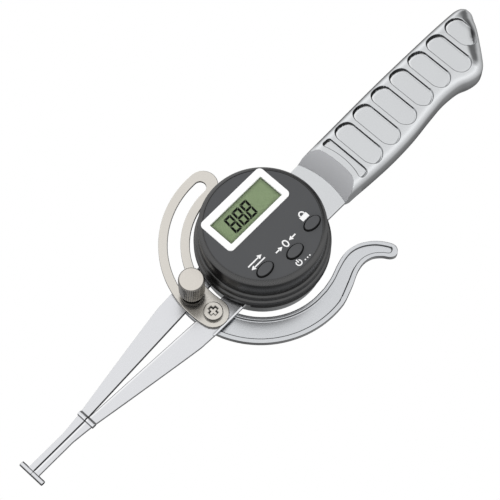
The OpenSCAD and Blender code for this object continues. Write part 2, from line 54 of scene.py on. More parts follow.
class Nodes:
    """Builds a node tree. An input given a socket is linked, and one given None is left alone."""

    def __init__(self, tree):
        self.tree = tree

    def feed(self, socket, value):
        if isinstance(value, bpy.types.NodeSocket):
            self.tree.links.new(value, socket)
        elif value is not None:
            socket.default_value = value

    def new(self, kind, *inputs, **values):
        node = self.tree.nodes.new("ShaderNode" + kind)
        for key, value in values.items():
            setattr(node, key, value)
        for socket, value in zip(node.inputs, inputs):
            self.feed(socket, value)
        return node

    def math(self, operation, a, b=None, clamp=False):
        return self.new("Math", a, b, operation=operation, use_clamp=clamp).outputs[0]

    def span(self, value, low, high, start=0.3, end=0.7):
        """Turns start to end into low to high."""
        return self.new("MapRange", value, start, end, low, high).outputs[0]

    def mix(self, value, a, b, numbers=False):
        """Mixes two colours, or two numbers."""
        node = self.new("Mix", value, data_type="FLOAT" if numbers else "RGBA")
        first, result = (2, 0) if numbers else (6, 2)
        self.feed(node.inputs[first], a)
        self.feed(node.inputs[first + 1], b)
        return node.outputs[result]

    def seen(self):
        """1 for the camera, also through the clear window."""
        path = self.new("LightPath")
        return self.math("MAXIMUM", path.outputs["Is Camera Ray"], path.outputs["Is Transmission Ray"])


# Camera and light

FRAME_PX = 500
FOCAL_PX = 2000.0
SENSOR = 36
CAMERA_WAY = (-0.2865, -0.2681, 0.9198)
CAMERA_RIGHT = (0.6833, -0.7302, 0.0)
CAMERA_DISTANCE = 872.8
IMAGE_CENTRE = (262.48, 244.25)
TARGET_HEIGHT = 9.0


def make_camera():
    back = Vector(CAMERA_WAY).normalized()
    right = Vector(CAMERA_RIGHT)
    right = (right - back * right.dot(back)).normalized()
    up = back.cross(right)
    mm_per_px = CAMERA_DISTANCE / FOCAL_PX
    across = (IMAGE_CENTRE[0] - FRAME_PX / 2) * mm_per_px
    above = (FRAME_PX / 2 - IMAGE_CENTRE[1]) * mm_per_px
    place = back * CAMERA_DISTANCE - right * across - up * above + Vector((0, 0, TARGET_HEIGHT))
    data = bpy.data.cameras.new("camera")
    data.sensor_width = SENSOR
    data.lens = FOCAL_PX / FRAME_PX * SENSOR
    data.clip_start = 0.01
    data.clip_end = 20
    camera = bpy.data.objects.new("camera", data)
    rows = [[right[i], up[i], back[i], place[i] * MM] for i in range(3)] + [[0, 0, 0, 1]]
    camera.matrix_world = Matrix(rows)
    scene.collection.objects.link(camera)
    scene.camera = camera


# Light level by direction: 0 is straight down, 0.5 the horizon and 1 straight up
STUDIO = [(0.0, 0.10), (0.04, 0.13), (0.12, 0.22), (0.22, 0.38), (0.36, 0.60), (0.48, 0.86), (0.58, 1.12),
          (0.68, 1.28), (0.78, 1.16), (0.88, 1.02), (1.0, 1.0)]
# The lower half of the studio is lighter towards these sides, by this much
LIGHT_SIDES = (((-0.34, 0.94, 0.0), 0.34), ((0.55, -0.83, 0.0), 0.32))
# A screen beside the end of the handle, and a patch of the studio's floor that edges facing away reflect:
# the way there, the light level, and the cosines where the level starts and is reached
DARK_SPOTS = (((0.925, 0.163, 0.342), 0.18, (0.74, 0.92)), ((0.2865, 0.2681, -0.9198), 0.05, (0.87, 0.97)))
FLOOR_HALF, FLOOR_Z = 3.0, -0.0005


def make_world():
    """White background for the camera, and for reflections a bright studio with a darker floor."""
    world = bpy.data.worlds.new("studio")
    scene.world = world
    world.use_nodes = True
    world.node_tree.nodes.clear()
    sky = Nodes(world.node_tree)
    way = sky.new("TexCoord").outputs["Generated"]

    def towards(there):
        return sky.new("VectorMath", way, there, operation="DOT_PRODUCT").outputs["Value"]

    height = towards((0, 0, 1))
    ramp = sky.new("ValToRGB", sky.span(height, 0, 1, -1, 1))
    stops = ramp.color_ramp.elements
    while len(stops) < len(STUDIO):
        stops.new(0.5)
    for stop, (place, level) in zip(stops, STUDIO):
        stop.position = place
        stop.color = (level, level, level, 1)
    light = ramp.outputs[0]
    for there, gain in LIGHT_SIDES:
        lower_half = sky.span(height, gain, 0, -0.5, 0.2)
        light = sky.math("ADD", light, sky.math("MULTIPLY", towards(there), lower_half, clamp=True))
    for there, level, (start, end) in DARK_SPOTS:
        light = sky.mix(sky.span(towards(there), 0, 1, start, end), light, level, numbers=True)
    background = sky.new("Background", sky.mix(sky.seen(), light, 1.0, numbers=True))
    sky.new("OutputWorld", background.outputs[0])


def make_floor():
    """Plain white floor for the camera, from above; every other ray goes on to the studio below it."""
    mesh = bpy.data.meshes.new("floor")
    corners = [(x * FLOOR_HALF, y * FLOOR_HALF, FLOOR_Z) for x, y in ((-1, -1), (1, -1), (1, 1), (-1, 1))]
    mesh.from_pydata(corners, [], [(0, 1, 2, 3)])
    floor = bpy.data.objects.new("floor", mesh)
    scene.collection.objects.link(floor)
    material = bpy.data.materials.new("white_floor")
    material.use_nodes = True
    material.node_tree.nodes.clear()
    tree = Nodes(material.node_tree)
    below = tree.new("NewGeometry").outputs["Backfacing"]
    shown = tree.math("SUBTRACT", tree.seen(), below, clamp=True)
    through = tree.new("BsdfTransparent")
    white = tree.new("Emission", (1, 1, 1, 1), 1.0)
    mix = tree.new("MixShader", shown, through.outputs[0], white.outputs[0])
    tree.new("OutputMaterial", mix.outputs[0])
    mesh.materials.append(material)


make_camera()
make_world()
make_floor()


# Materials

# Colour of painted shade in creases and along edges, and the normal's upright share where walls start and end
PAINTED_SHADE_RGB = (22, 22, 23)
WALL_SPAN = (0.05, 0.4)


def srgb(*rgb):
    """Linear colour from values of 0 to 255."""
    shares = [value / 255 for value in rgb]
    return (*(c / 12.92 if c <= 0.04045 else ((c + 0.055) / 1.055) ** 2.4 for c in shares), 1.0)


def shades(rgb, vary):
    """A darker and a lighter shade of a colour."""
    return [tuple(min(1, c * share) for c in srgb(*rgb)[:3]) + (1,) for share in (1 - vary, 1 + vary)]


class Mat(Nodes):
    """A node material built up in steps."""

    def __init__(self, name):
        self.material = bpy.data.materials.new(name)
        self.material.use_nodes = True
        super().__init__(self.material.node_tree)
        self.bsdf = self.tree.nodes["Principled BSDF"]
        self.texture = self.new("TexCoord")
        self.coords = self.texture.outputs["Object"]

    def set(self, **inputs):
        """Feeds the shader's inputs, whose names have _ for a space here."""
        for key, value in inputs.items():
            self.feed(self.bsdf.inputs[key.replace("_", " ")], value)

    def noise(self, scale, detail=2, stretch=(1, 1, 1)):
        place = self.new("Mapping", self.coords, None, None, stretch)
        return self.new("TexNoise", place.outputs[0], None, scale, detail).outputs["Fac"]

    def mark(self, name):
        """Value that a piece carries on its points; 0 where it has none."""
        return self.new("Attribute", attribute_type="GEOMETRY", attribute_name=name).outputs["Fac"]

    def upright(self, start, end):
        """1 on walls and 0 on surfaces that face up or down."""
        split = self.new("SeparateXYZ", self.texture.outputs["Normal"])
        return self.span(self.math("ABSOLUTE", split.outputs["Z"]), 1, 0, start, end)

    def bump(self, value, height, strength):
        node = self.new("Bump", strength, height * MM)
        self.feed(node.inputs["Height"], value)
        self.set(Normal=node.outputs[0])


def metal(name, rgb, rough, grain=(1, 1, 1), grain_scale=1500, vary=0.02, bump=0.003, wall=None,
          wall_span=WALL_SPAN, painted_highlight=None, facet=None):
    """Satin metal: fine grain, faint patches, a painted wall colour, and painted highlights and shade where
    marked.
    """
    mat = Mat(name)
    fine = mat.noise(grain_scale, 3, grain)
    colour = mat.mix(mat.span(fine, 0.25, 0.75), *shades(rgb, vary))
    # Painted shade on the walls, by how upright they are; the lever's lighter wall colour is painted light
    if wall:
        colour = mat.mix(mat.upright(*wall_span), colour, srgb(*wall))
    # A piece's marks: painted highlight, the matte facet's colour, and painted shade
    for mark, there in (("painted_highlight", painted_highlight), ("facet", facet), ("painted_shade", PAINTED_SHADE_RGB)):
        if there:
            colour = mat.mix(mat.mark(mark), colour, srgb(*there))
    metallic, roughness = 1.0, mat.span(mat.noise(35, 3), rough - 0.02, rough + 0.02)
    if facet:
        # A ground facet scatters more light than the polished rest
        metallic = mat.span(mat.mark("facet"), 1.0, 0.0, 0, 1)
        roughness = mat.math("MAXIMUM", roughness, mat.span(mat.mark("facet"), 0.0, 0.55, 0, 1))
    mat.set(Base_Color=colour, Metallic=metallic, Roughness=roughness)
    mat.bump(fine, bump, 0.2)
    return mat.material


def plastic(name, rgb, rough, vary=0.05, bump=0.01, specular=0.5, wall=None, wall_span=WALL_SPAN,
            wall_specular=None, glow=None):
    """Moulded or painted plastic with a fine texture."""
    mat = Mat(name)
    fine = mat.noise(2500)
    colour = mat.mix(mat.span(mat.noise(60, 3), 0, 1), *shades(rgb, vary))
    # Painted shade on the walls, by how upright they are (the buttons' near-black sides)
    if wall:
        colour = mat.mix(mat.upright(*wall_span), colour, srgb(*wall))
    if wall_specular:
        specular = mat.span(mat.upright(0.15, 0.6), specular, wall_specular, 0, 1)
    # A faint glow: painted light that lifts the white frame and the white print
    if glow:
        mat.set(Emission_Color=(1, 1, 1, 1), Emission_Strength=glow)
    roughness = mat.span(fine, rough - 0.04, rough + 0.04)
    mat.set(Base_Color=colour, Roughness=roughness, Specular_IOR_Level=specular)
    mat.bump(fine, bump, 0.3)
    return mat.material


# Centre and half size of the display along X and Y, and the width of the shade along its edges
DISPLAY_SHADE = ((0.0, 15.9, 2.6), (9.8, 6.4, 2.2))


def display_material():
    """Reflective display: grey green, with a painted shadow of the frame darker towards the edges of its
    window.
    """
    mat = Mat("display")
    split = mat.new("SeparateXYZ", mat.coords)
    edges = []
    for axis, (centre, half, soft) in zip("XY", DISPLAY_SHADE):
        off = mat.math("ABSOLUTE", mat.math("SUBTRACT", split.outputs[axis], centre * MM))
        edges.append(mat.span(off, 0.0, 1.0, (half - soft) * MM, half * MM))
    shade = mat.math("POWER", mat.math("MAXIMUM", *edges), 2.2)
    inner = mat.mix(mat.noise(700), srgb(134, 151, 115), srgb(142, 158, 122))
    mat.set(Base_Color=mat.mix(shade, inner, srgb(74, 84, 62)), Roughness=0.45, Specular_IOR_Level=0.3)
    mat.bump(mat.noise(3000), 0.004, 0.2)
    return mat.material


def clear_material():
    """Clear window: lets the display through with a faint gloss."""
    mat = Mat("clear")
    mat.tree.nodes.remove(mat.bsdf)
    through = mat.new("BsdfTransparent", (0.97, 0.98, 0.97, 1))
    gloss = mat.new("BsdfGlossy", None, mat.span(mat.noise(90), 0.06, 0.10))
    mix = mat.new("MixShader", 0.006, through.outputs[0], gloss.outputs[0])
    mat.feed(mat.tree.nodes["Material Output"].inputs[0], mix.outputs[0])
    return mat.material


def board_material():
    """Circuit board: solder mask with faint copper tracks."""
    mat = Mat("board")
    brick = mat.new("TexBrick", mat.coords, srgb(24, 88, 52), srgb(28, 96, 58), srgb(44, 120, 74), 260, 0.06)
    mat.set(Base_Color=brick.outputs["Color"], Roughness=mat.span(mat.noise(400), 0.3, 0.42))
    mat.bump(brick.outputs["Fac"], 0.01, 0.3)
    return mat.material


CAST = metal("cast_satin", (211, 213, 215), 0.19, painted_highlight=(250, 251, 252), facet=(190, 191, 194))
LEG = metal("leg_steel", (223, 224, 227), 0.26, grain=(1, 14, 14), grain_scale=260, bump=0.001,
            painted_highlight=(252, 252, 253))
# The lever's walls are painted lighter: painted light
LEVER = metal("lever_satin", (209, 211, 214), 0.22, grain_scale=1300, wall=(238, 239, 241))
# The plate's edges are painted dark: painted shade
NICKEL = metal("nickel_satin", (217, 213, 206), 0.24, grain_scale=1400, wall=(80, 78, 74),
               wall_span=(0.5, 0.96))
# The knurl's sides are painted darker: painted shade
KNURL = metal("nickel_knurl", (217, 212, 205), 0.26, grain=(1, 1, 0.1), grain_scale=1200, vary=0.03,
              wall=(142, 138, 131))
# The washer is painted dark as the shade under the knob
WASHER = metal("washer_painted_shade", (52, 50, 47), 0.35, grain_scale=1400)
STEEL = metal("bright_steel", (212, 212, 214), 0.2)
DARK_STEEL = metal("dark_steel", (120, 120, 124), 0.32)
SPRING = metal("blued_spring", (92, 96, 112), 0.3, grain=(1, 1, 10), grain_scale=500)
BRONZE = metal("bronze", (196, 154, 92), 0.3, grain_scale=1100)
BLACK = plastic("black_case", (17, 17, 18), 0.29, vary=0.06, bump=0.003, specular=0.95, wall_specular=0.2)
FACE = plastic("grey_face", (79, 80, 82), 0.55, vary=0.03, bump=0.008, specular=0.35)
# The buttons' sides are painted near black: painted shade
KEY = plastic("key_grey", (78, 79, 81), 0.5, vary=0.03, specular=0.4, wall=(12, 12, 13),
              wall_span=(0.4, 0.94))
# WHITE and INK glow faintly: painted light
WHITE = plastic("white_frame", (252, 252, 252), 0.35, vary=0.01, bump=0.003, glow=0.06)
INK = plastic("white_ink", (250, 250, 250), 0.5, vary=0.01, bump=0.002, glow=0.05)
SEGMENT = plastic("segment_ink", (8, 10, 8), 0.5, bump=0.001, specular=0.06)
RUBBER = plastic("black_rubber", (30, 30, 30), 0.7, vary=0.1)
PAD = plastic("pad_rubber", (205, 204, 198), 0.6, vary=0.03)
HOLDER = plastic("holder_plastic", (40, 40, 42), 0.5)
DISPLAY = display_material()
CLEAR = clear_material()
BOARD = board_material()



# Mesh tools

def make_piece(name, verts, faces, material, body, marks=None, **extra):
    mesh = bpy.data.meshes.new(name)
    mesh.from_pydata([(x * MM, y * MM, z * MM) for x, y, z in verts], [], faces)
    for key, values in (marks or {}).items():
        layer = mesh.attributes.new(key, "FLOAT", "POINT")
        layer.data.foreach_set("value", [float(v) for v in values])
    finish_piece(name, mesh, material, body, **extra)


def finish_piece(name, mesh, material, body, slot, replaces=(), angle=32):
    """Cleans a mesh, shades it and hangs it on its body."""
    bm = bmesh.new()
    bm.from_mesh(mesh)
    bmesh.ops.remove_doubles(bm, verts=bm.verts, dist=1e-7)
    bmesh.ops.dissolve_degenerate(bm, edges=bm.edges, dist=1e-8)
    bmesh.ops.recalc_face_normals(bm, faces=bm.faces)
    bm.to_mesh(mesh)
    bm.free()
    mesh.shade_smooth()
    mesh.set_sharp_from_angle(angle=math.radians(angle))
    mesh.update()
    mesh.materials.append(material)
    piece = bpy.data.objects.new(name, mesh)
    scene.collection.objects.link(piece)
    bpy.context.view_layer.update()
    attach(piece, body)
    if replaces:
        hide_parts(*replaces)
    return piece


def worn_edges(obj, width, angle=30):
    edge = obj.modifiers.new("edges", "BEVEL")
    edge.width = width * MM
    edge.segments = 2
    edge.limit_method = "ANGLE"
    edge.angle_limit = math.radians(angle)


def dress(node, material, bevel):
    """Gives a CAD node its material and small worn edges."""
    obj = nodes[node]
    obj.data.materials.clear()
    obj.data.materials.append(material)
    if bevel:
        weld = obj.modifiers.new("weld", "WELD")
        weld.merge_threshold = 1e-6
        worn_edges(obj, bevel)


def cut_from(node, name, material, body, side, at, slot, bevel=0.2):
    """The part of a CAD node on one side of a plane across X, as a piece of its own."""
    bm = bmesh.new()
    bm.from_mesh(nodes[node].data)
    bmesh.ops.remove_doubles(bm, verts=bm.verts, dist=1e-6)
    geom = bm.verts[:] + bm.edges[:] + bm.faces[:]
    bmesh.ops.bisect_plane(bm, geom=geom, plane_co=(at * MM, 0, 0), plane_no=(side, 0, 0), clear_outer=True)
    bmesh.ops.holes_fill(bm, edges=[e for e in bm.edges if e.is_boundary], sides=0)
    mesh = bpy.data.meshes.new(name)
    bm.to_mesh(mesh)
    bm.free()
    piece = finish_piece(name, mesh, material, body, replaces=(node,), slot=slot, angle=30)
    worn_edges(piece, bevel, angle=40)


def unit(value):
    return np.clip(value, 0, 1)


def polar(r, degrees):
    a = math.radians(degrees)
    return r * math.cos(a), r * math.sin(a)


def oval(cx, cy, rx, ry, start=0, end=360, steps=72):
    turn = [math.radians(start + (end - start) * i / steps) for i in range(steps + 1)]
    return [(cx + rx * math.cos(t), cy + ry * math.sin(t)) for t in turn]


def arc(cx, cy, r, start, end, steps):
    return oval(cx, cy, r, r, start, end, steps)


def smooth(points, steps):
    """Smooth curve through points."""
    out = []
    n = len(points) - 1
    for i in range(n):
        p0, p1, p2, p3 = (np.array(points[k]) for k in (max(i - 1, 0), i, i + 1, min(i + 2, n)))
        for j in range(steps):
            t = j / steps
            out.append(tuple(0.5 * (2 * p1 + (p2 - p0) * t + (2 * p0 - 5 * p1 + 4 * p2 - p3) * t * t
                                    + (3 * p1 - p0 - 3 * p2 + p3) * t ** 3)))
    out.append(tuple(points[n]))
    return out


def resample(loop, step):
    """Even spacing along a closed loop, with the first point kept."""
    pts = np.concatenate([loop, loop[:1]])
    lengths = np.hypot(*np.diff(pts, axis=0).T)
    total = np.concatenate([[0], np.cumsum(lengths)])
    n = max(8, int(round(total[-1] / step)))
    at = np.linspace(0, total[-1], n, endpoint=False)
    return np.stack([np.interp(at, total, values) for values in pts.T], 1)


def subdivide(loop, step):
    """Points no further apart than step along a closed loop, with every corner kept."""
    out = []
    for (ax, ay), (bx, by) in zip(loop, list(loop[1:]) + [loop[0]]):
        n = max(1, math.ceil(math.hypot(bx - ax, by - ay) / step))
        out += [(ax + (bx - ax) * i / n, ay + (by - ay) * i / n) for i in range(n)]
    return np.array(out)


def anticlockwise(loop):
    """The points of a closed loop, turned round where it runs clockwise."""
    points = np.asarray(loop, float)
    x, y = points.T
    return points[::-1] if np.sum(x * np.roll(y, -1) - y * np.roll(x, -1)) < 0 else points


def distance(points, loop):
    """Distance of each point to a closed loop, negative inside it."""
    p = np.asarray(points, float)
    a = np.asarray(loop, float)
    b = np.roll(a, -1, axis=0)
    out = np.empty(len(p))
    ab = b - a
    squares = np.maximum((ab ** 2).sum(1), 1e-18)
    for start in range(0, len(p), 2000):
        q = p[start:start + 2000, None, :]
        t = unit(((q - a) * ab).sum(2) / squares)
        d = q - (a + t[..., None] * ab)
        dist = np.sqrt((d ** 2).sum(2)).min(1)
        inside = (a[:, 1] > q[..., 1]) != (b[:, 1] > q[..., 1])
        with np.errstate(divide="ignore", invalid="ignore"):
            cross = (b[:, 0] - a[:, 0]) * (q[..., 1] - a[:, 1]) / (b[:, 1] - a[:, 1]) + a[:, 0]
        hits = (inside & (q[..., 0] < cross)).sum(1) % 2
        out[start:start + 2000] = np.where(hits == 1, -dist, dist)
    return out


def offset_loop(loop, d):
    """Points at distance d inside (positive) or outside (negative) a closed loop; folds are dropped."""
    pts = anticlockwise(loop)
    tangent = np.roll(pts, -1, axis=0) - np.roll(pts, 1, axis=0)
    tangent /= np.maximum(np.hypot(*tangent.T), 1e-12)[:, None]
    normal = np.stack([-tangent[:, 1], tangent[:, 0]], 1)
    moved = pts + normal * d
    return moved[np.abs(-distance(moved, pts) - d) < 0.02 + 0.05 * abs(d)]


def rings_along(loop, offsets):
    return [offset_loop(loop, d) for d in offsets]


def rounding(d, r):
    """Drop of a rounded edge at distance d inside it."""
    t = np.clip(r - d, 0, r)
    return r - np.sqrt(np.maximum(r * r - t * t, 0))


def band(value, low, high, soft):
    """1 between low and high, with soft ends."""
    return unit(np.minimum(value - low, high - value) / soft + 0.5)


def recess(s, depth, lip, foot, wall):
    """Drop below the surrounding surface at signed distance s from the edge of a recess."""
    lip_drop = rounding(np.clip(s, 0, lip), lip)
    f = unit(-s / wall)
    wall_drop = lip + f * (depth - foot - lip)
    t = np.clip(-s - wall, 0, foot)
    foot_drop = depth - foot + np.sqrt(np.maximum(foot ** 2 - (foot - t) ** 2, 0))
    return np.where(s >= lip, 0, np.where(s >= 0, lip_drop, np.where(s >= -wall, wall_drop, foot_drop)))


# How a fading wall's painted shade grows downwards
WALL_FADE = 1.3


def between(first, second):
    """Side faces between two closed loops of point numbers."""
    after = [*range(1, len(first)), 0]
    return [(first[i], first[j], second[j], second[i]) for i, j in enumerate(after)]


def terrain(name, outline, top, bottom, top_rings, bottom_rings, step, material, body, marks, wall_mark,
            wall_rows=3, wall_fade=False, **extra):
    """A solid over a plan outline: top(points) and bottom(points) give the two heights, and the rings
    are extra points that follow edges. marks gives the values that the top carries, and wall_mark the
    painted shade of the walls, which grows downwards from nothing where wall_fade is set."""
    edge = anticlockwise(outline)
    count = len(edge)
    verts, faces = [], []
    carried = {key: [] for key in marks}

    def skin(height, rings, flip):
        x0, y0 = edge.min(0)
        x1, y1 = edge.max(0)
        gx, gy = np.meshgrid(np.arange(x0, x1, step), np.arange(y0, y1, step * 0.866))
        gx = gx + (np.arange(gx.shape[0]) % 2)[:, None] * step / 2
        grid = np.stack([gx.ravel(), gy.ravel()], 1)
        grid = grid[distance(grid, edge) < -0.35 * step]
        ring_points = np.concatenate(rings)
        ring_points = ring_points[distance(ring_points, edge) < -0.004]
        cell = {}
        for k, (px, py) in enumerate(ring_points):
            cell.setdefault((int(px // step), int(py // step)), []).append(k)
        keep = []
        for px, py in grid:
            cx, cy = int(px // step), int(py // step)
            near = [k for i in (-1, 0, 1) for j in (-1, 0, 1) for k in cell.get((cx + i, cy + j), ())]
            if not near or np.hypot(*(ring_points[near] - (px, py)).T).min() > 0.45 * step:
                keep.append((px, py))
        points = np.concatenate([edge, ring_points, np.array(keep).reshape(-1, 2)])
        edges = [(i, (i + 1) % count) for i in range(count)]
        out_v, _, out_f, sources, _, _ = delaunay_2d_cdt([Vector(p) for p in points], edges, [], 0, 1e-6)
        flat = np.array([(v.x, v.y) for v in out_v])
        tris = np.array([f for f in out_f if len(f) == 3])
        tris = tris[distance(flat[tris].mean(1), edge) < 0]
        base = len(verts)
        verts.extend(np.column_stack([flat, height(flat)]).tolist())
        for key, value in marks.items():
            carried[key].extend([0.0] * len(flat) if flip else value(flat))
        faces.extend((tris[:, (0, 2, 1) if flip else (0, 1, 2)] + base).tolist())
        where = {old: base + new for new, olds in enumerate(sources) for old in olds}
        return [where[i] for i in range(count)]

    upper = skin(top, top_rings, False)
    lower = skin(bottom, bottom_rings, True)
    rows = [upper]
    for row in range(1, wall_rows):
        f = row / wall_rows
        rows.append(range(len(verts), len(verts) + count))
        for start, end in zip(upper, lower):
            x, y, z = verts[start]
            verts.append((x, y, z + (verts[end][2] - z) * f))
            for key in marks:
                # The top's marks fade within the upper third of the wall
                carried[key].append(carried[key][start] * max(0.0, 1 - 3 * f))
    rows.append(lower)
    for previous, current in zip(rows, rows[1:]):
        faces += between(previous, current)
    values = wall_mark(edge)
    for k, row in enumerate(rows):
        share = (k / wall_rows) ** WALL_FADE if wall_fade else 1.0
        for i, v in zip(row, values):
            carried["painted_shade"][i] = max(carried["painted_shade"][i], v * share)
    make_piece(name, verts, faces, material, body, marks=carried, **extra)


def stack(name, rows, material, body, ring=False, **extra):
    """Skins closed loops of equal length one after the other, and closes both ends or joins them."""
    n = len(rows[0])
    loops = [tuple(range(start, start + n)) for start in range(0, n * len(rows), n)]
    following = loops[1:] + loops[:1] * ring
    faces = [face for first, second in zip(loops, following) for face in between(first, second)]
    if not ring:
        faces += [loops[0][::-1], loops[-1]]
    make_piece(name, [p for row in rows for p in row], faces, material, body, **extra)


# Handle

FAR = [(18, 14.6), (36, 14.6), (60, 14.9), (90, 15.3), (120, 15), (138, 14.4), (146, 13.6), (149.6, 11)]
NEAR = [(18, -12.8), (42, -12.9), (56, -13.8), (70, -14.4), (84, -14), (97, -12.6), (107, -11.8),
        (116, -12.6), (121, -14.5), (125.2, -15.5), (129.2, -15.1), (133.6, -12.4), (140.7, -4.4),
        (146.6, 2.8), (149.6, 8.2)]
GRIP_H, BASE_H, NECK_LOW, SLOPE_R, SLOPE_RUN = 16.5, 9.0, 6.4, 41.5, 1.04
HANDLE_END, BASE_CUT_X = 149.3, 24.5
TOP_R, LOW_R = 5.5, 4.5
DROP_FROM, DROP_TO, DROP, DROP_POWER = 138, 149.4, 2.6, 2.4
POCKET_DEPTH, POCKET_BACK_DEPTH, POCKET_W, POCKET_X, POCKET_PITCH = 1.6, 1.5, 9.9, 62.7, 12.23
# Near and far end of each full pocket
POCKET_LOW = [-12.2, -11.8, -10.6, -9.8, -9.4, -11.2, -4.4]
POCKET_HIGH = [12.7, 13, 13.1, 13, 12.8, 12.4, 11.8]
POCKET_SHAPE = dict(lip=0.3, foot=0.45, wall=0.07)
POCKET_REACH, LAST_DEPTH, END_WIDER, WIDER_FROM = 8.0, 1.3, 3.0, 126
POCKET_RINGS = (2.0, 1.2, 0.8, 0.62, 0.52, 0.44, 0.36, 0.29, 0.22, 0.17, 0.12, 0.07, 0, -0.035, -0.1, -0.18,
                -0.3, -0.42, -0.6, -1.1)
EDGE_RINGS = (0.02, 0.08, 0.18, 0.34, 0.56, 0.85, 1.2, 1.65, 2.2, 2.85, 3.6, 4.5, 5.5, 6.5, 7.4, 8.3)


def first_pocket():
    """Narrow pocket behind the slope; one side follows the slope's curve."""
    points = [(55.4, 10.9), (54.6, 11.7), (51.8, 11.7), (51, 10.9), *arc(19.5, 0, 33, 19, -19, 19),
              (51, -11.2), (51.8, -12), (54.6, -12), (55.4, -11.2)]
    points = resample(points, 0.25)
    for _ in range(8):
        points = (np.roll(points, 1, axis=0) + 2 * points + np.roll(points, -1, axis=0)) / 4
    return points


def make_handle():
    far, near = np.array(smooth(FAR, 10)), np.array(smooth(NEAR, 10))
    outline = resample(np.concatenate([near, far[::-1]]), 0.55)
    outline = outline[outline[:, 0] > FAR[0][0] - 0.001]
    outline[:, 0] = np.minimum(outline[:, 0], HANDLE_END)
    r = POCKET_W / 2
    spines = [(POCKET_X + POCKET_PITCH * i, low + r, high - r)
              for i, (low, high) in enumerate(zip(POCKET_LOW, POCKET_HIGH))]
    loops = [resample(arc(cx, high, r, 0, 180, 24) + arc(cx, low, r, 180, 360, 24), 0.45)
             for cx, low, high in spines]
    loops.append(first_pocket())
    spines.append((53.2, -10.5, 10.2))
    last = len(POCKET_LOW) - 1

    def far_gap(p):
        return np.interp(p[:, 0], *far.T) - p[:, 1]

    def near_gap(p):
        return p[:, 1] - np.interp(p[:, 0], *near.T)

    def edge_distance(p, i):
        """Distance to a pocket's edge; points far from the pocket only get a large value."""
        close = np.abs(p[:, 0] - spines[i][0]) < POCKET_REACH
        out = np.full(len(p), 99.0)
        if close.any():
            out[close] = distance(p[close], loops[i])
        return out

    def ways(p, i):
        """Signed distance to a pocket's edge, and how far it lies to the far side and to the end."""
        cx, low, high = spines[i]
        dx, dy = p[:, 0] - cx, p[:, 1] - np.clip(p[:, 1], low, high)
        size = np.maximum(np.hypot(dx, dy), 1e-6)
        return edge_distance(p, i), dy / size, dx / size

    def depth_inside(p):
        # The cut at the head's end isn't an edge
        sides = np.minimum(far_gap(p), near_gap(p))
        return np.maximum(np.where(p[:, 0] < 40, sides, -distance(p, outline)), 0)

    def end_drop(p):
        f = np.clip((p[:, 0] - DROP_FROM) / (DROP_TO - DROP_FROM), 0, 1.05)
        return DROP * f ** DROP_POWER

    def top_radius(p):
        """The rounded edge grows wider towards the end, away from the far side."""
        return TOP_R + END_WIDER * unit((p[:, 0] - WIDER_FROM) / 8) * unit((far_gap(p) - 3) / 5)

    def far_drop(p):
        return rounding(np.maximum(far_gap(p), 0), TOP_R)

    def slope(p):
        return np.maximum(np.hypot(*p.T) - SLOPE_R, 0) / SLOPE_RUN

    def top(p):
        d = depth_inside(p)
        crown = GRIP_H - end_drop(p)
        z = np.minimum(crown - rounding(d, top_radius(p)), BASE_H + slope(p))
        z = np.where(np.hypot(*p.T) < SLOPE_R, BASE_H - rounding(d, 0.5), z)
        for i in range(len(loops)):
            s = edge_distance(p, i)
            cut = recess(s, LAST_DEPTH if i == last else POCKET_DEPTH, **POCKET_SHAPE)
            # The last pocket runs out through the rounded end
            z = np.where(s < 0, np.minimum(z, crown - far_drop(p) - cut), z - cut) if i == last else z - cut
        return z

    def bottom(p):
        d = depth_inside(p)
        belly = 0.6 * end_drop(p) + rounding(d, LOW_R)
        z = np.maximum(belly, NECK_LOW - slope(p))
        z = np.where(np.hypot(*p.T) < SLOPE_R, NECK_LOW + rounding(d, 0.5), z)
        for i in range(len(loops)):
            z = z + recess(edge_distance(p, i), POCKET_BACK_DEPTH, **POCKET_SHAPE)
        return z

    def painted_shade(p):
        """Painted shade in the pockets: a broad band at the far end, thin lines elsewhere."""
        out = np.zeros(len(p))
        for i in range(len(loops)):
            s, to_far, to_end = ways(p, i)
            run_out = unit(1 + 2.5 * np.minimum(to_far, 0))
            seen = unit(to_far) ** 0.7 * 0.5 + unit(to_end) * 0.09 * run_out
            wall = band(s, -0.06 - seen, 0.05, 0.08) * np.clip((seen - 0.01) * 16, 0, 0.96)
            hidden = unit(np.maximum(-to_end, -to_far) * 1.6)
            line = band(s, -0.05, 0.28, 0.1) * hidden * 0.85
            fade = unit((p[:, 1] + 0.5) / 4) if i == last else 1
            out = np.maximum(out, np.maximum(wall, line) * fade)
        # The rounded end is painted dark, a painted reflection, where the last pocket runs out through it
        under = rounding(depth_inside(p), top_radius(p)) - LAST_DEPTH - far_drop(p)
        ran_out = band(under, -0.4, 1.7, 0.9) * unit(1 - edge_distance(p, last) / 3) * 0.8
        out = np.maximum(out, ran_out * unit((p[:, 1] + 4) / 3))
        # Painted shade along the far edge
        rim = band(far_gap(p), -1, 1.5, 1.1) * 0.85 * unit((p[:, 0] - 48) / 3)
        return np.maximum(out, rim)

    def painted_highlight(p):
        """Painted highlight on the foot of the wall at the far end of each pocket."""
        out = np.zeros(len(p))
        for i in range(len(loops)):
            s, to_far, _ = ways(p, i)
            foot = unit(to_far) ** 0.7
            out = np.maximum(out, band(s, -1.15, -0.2 - 0.5 * foot, 0.25) * foot * 0.85)
        return out

    def facet(p):
        under = (GRIP_H - rounding(depth_inside(p), TOP_R)) - (BASE_H + slope(p))
        return np.where(np.hypot(*p.T) < SLOPE_R + 0.02, 0, unit(under / 0.1))

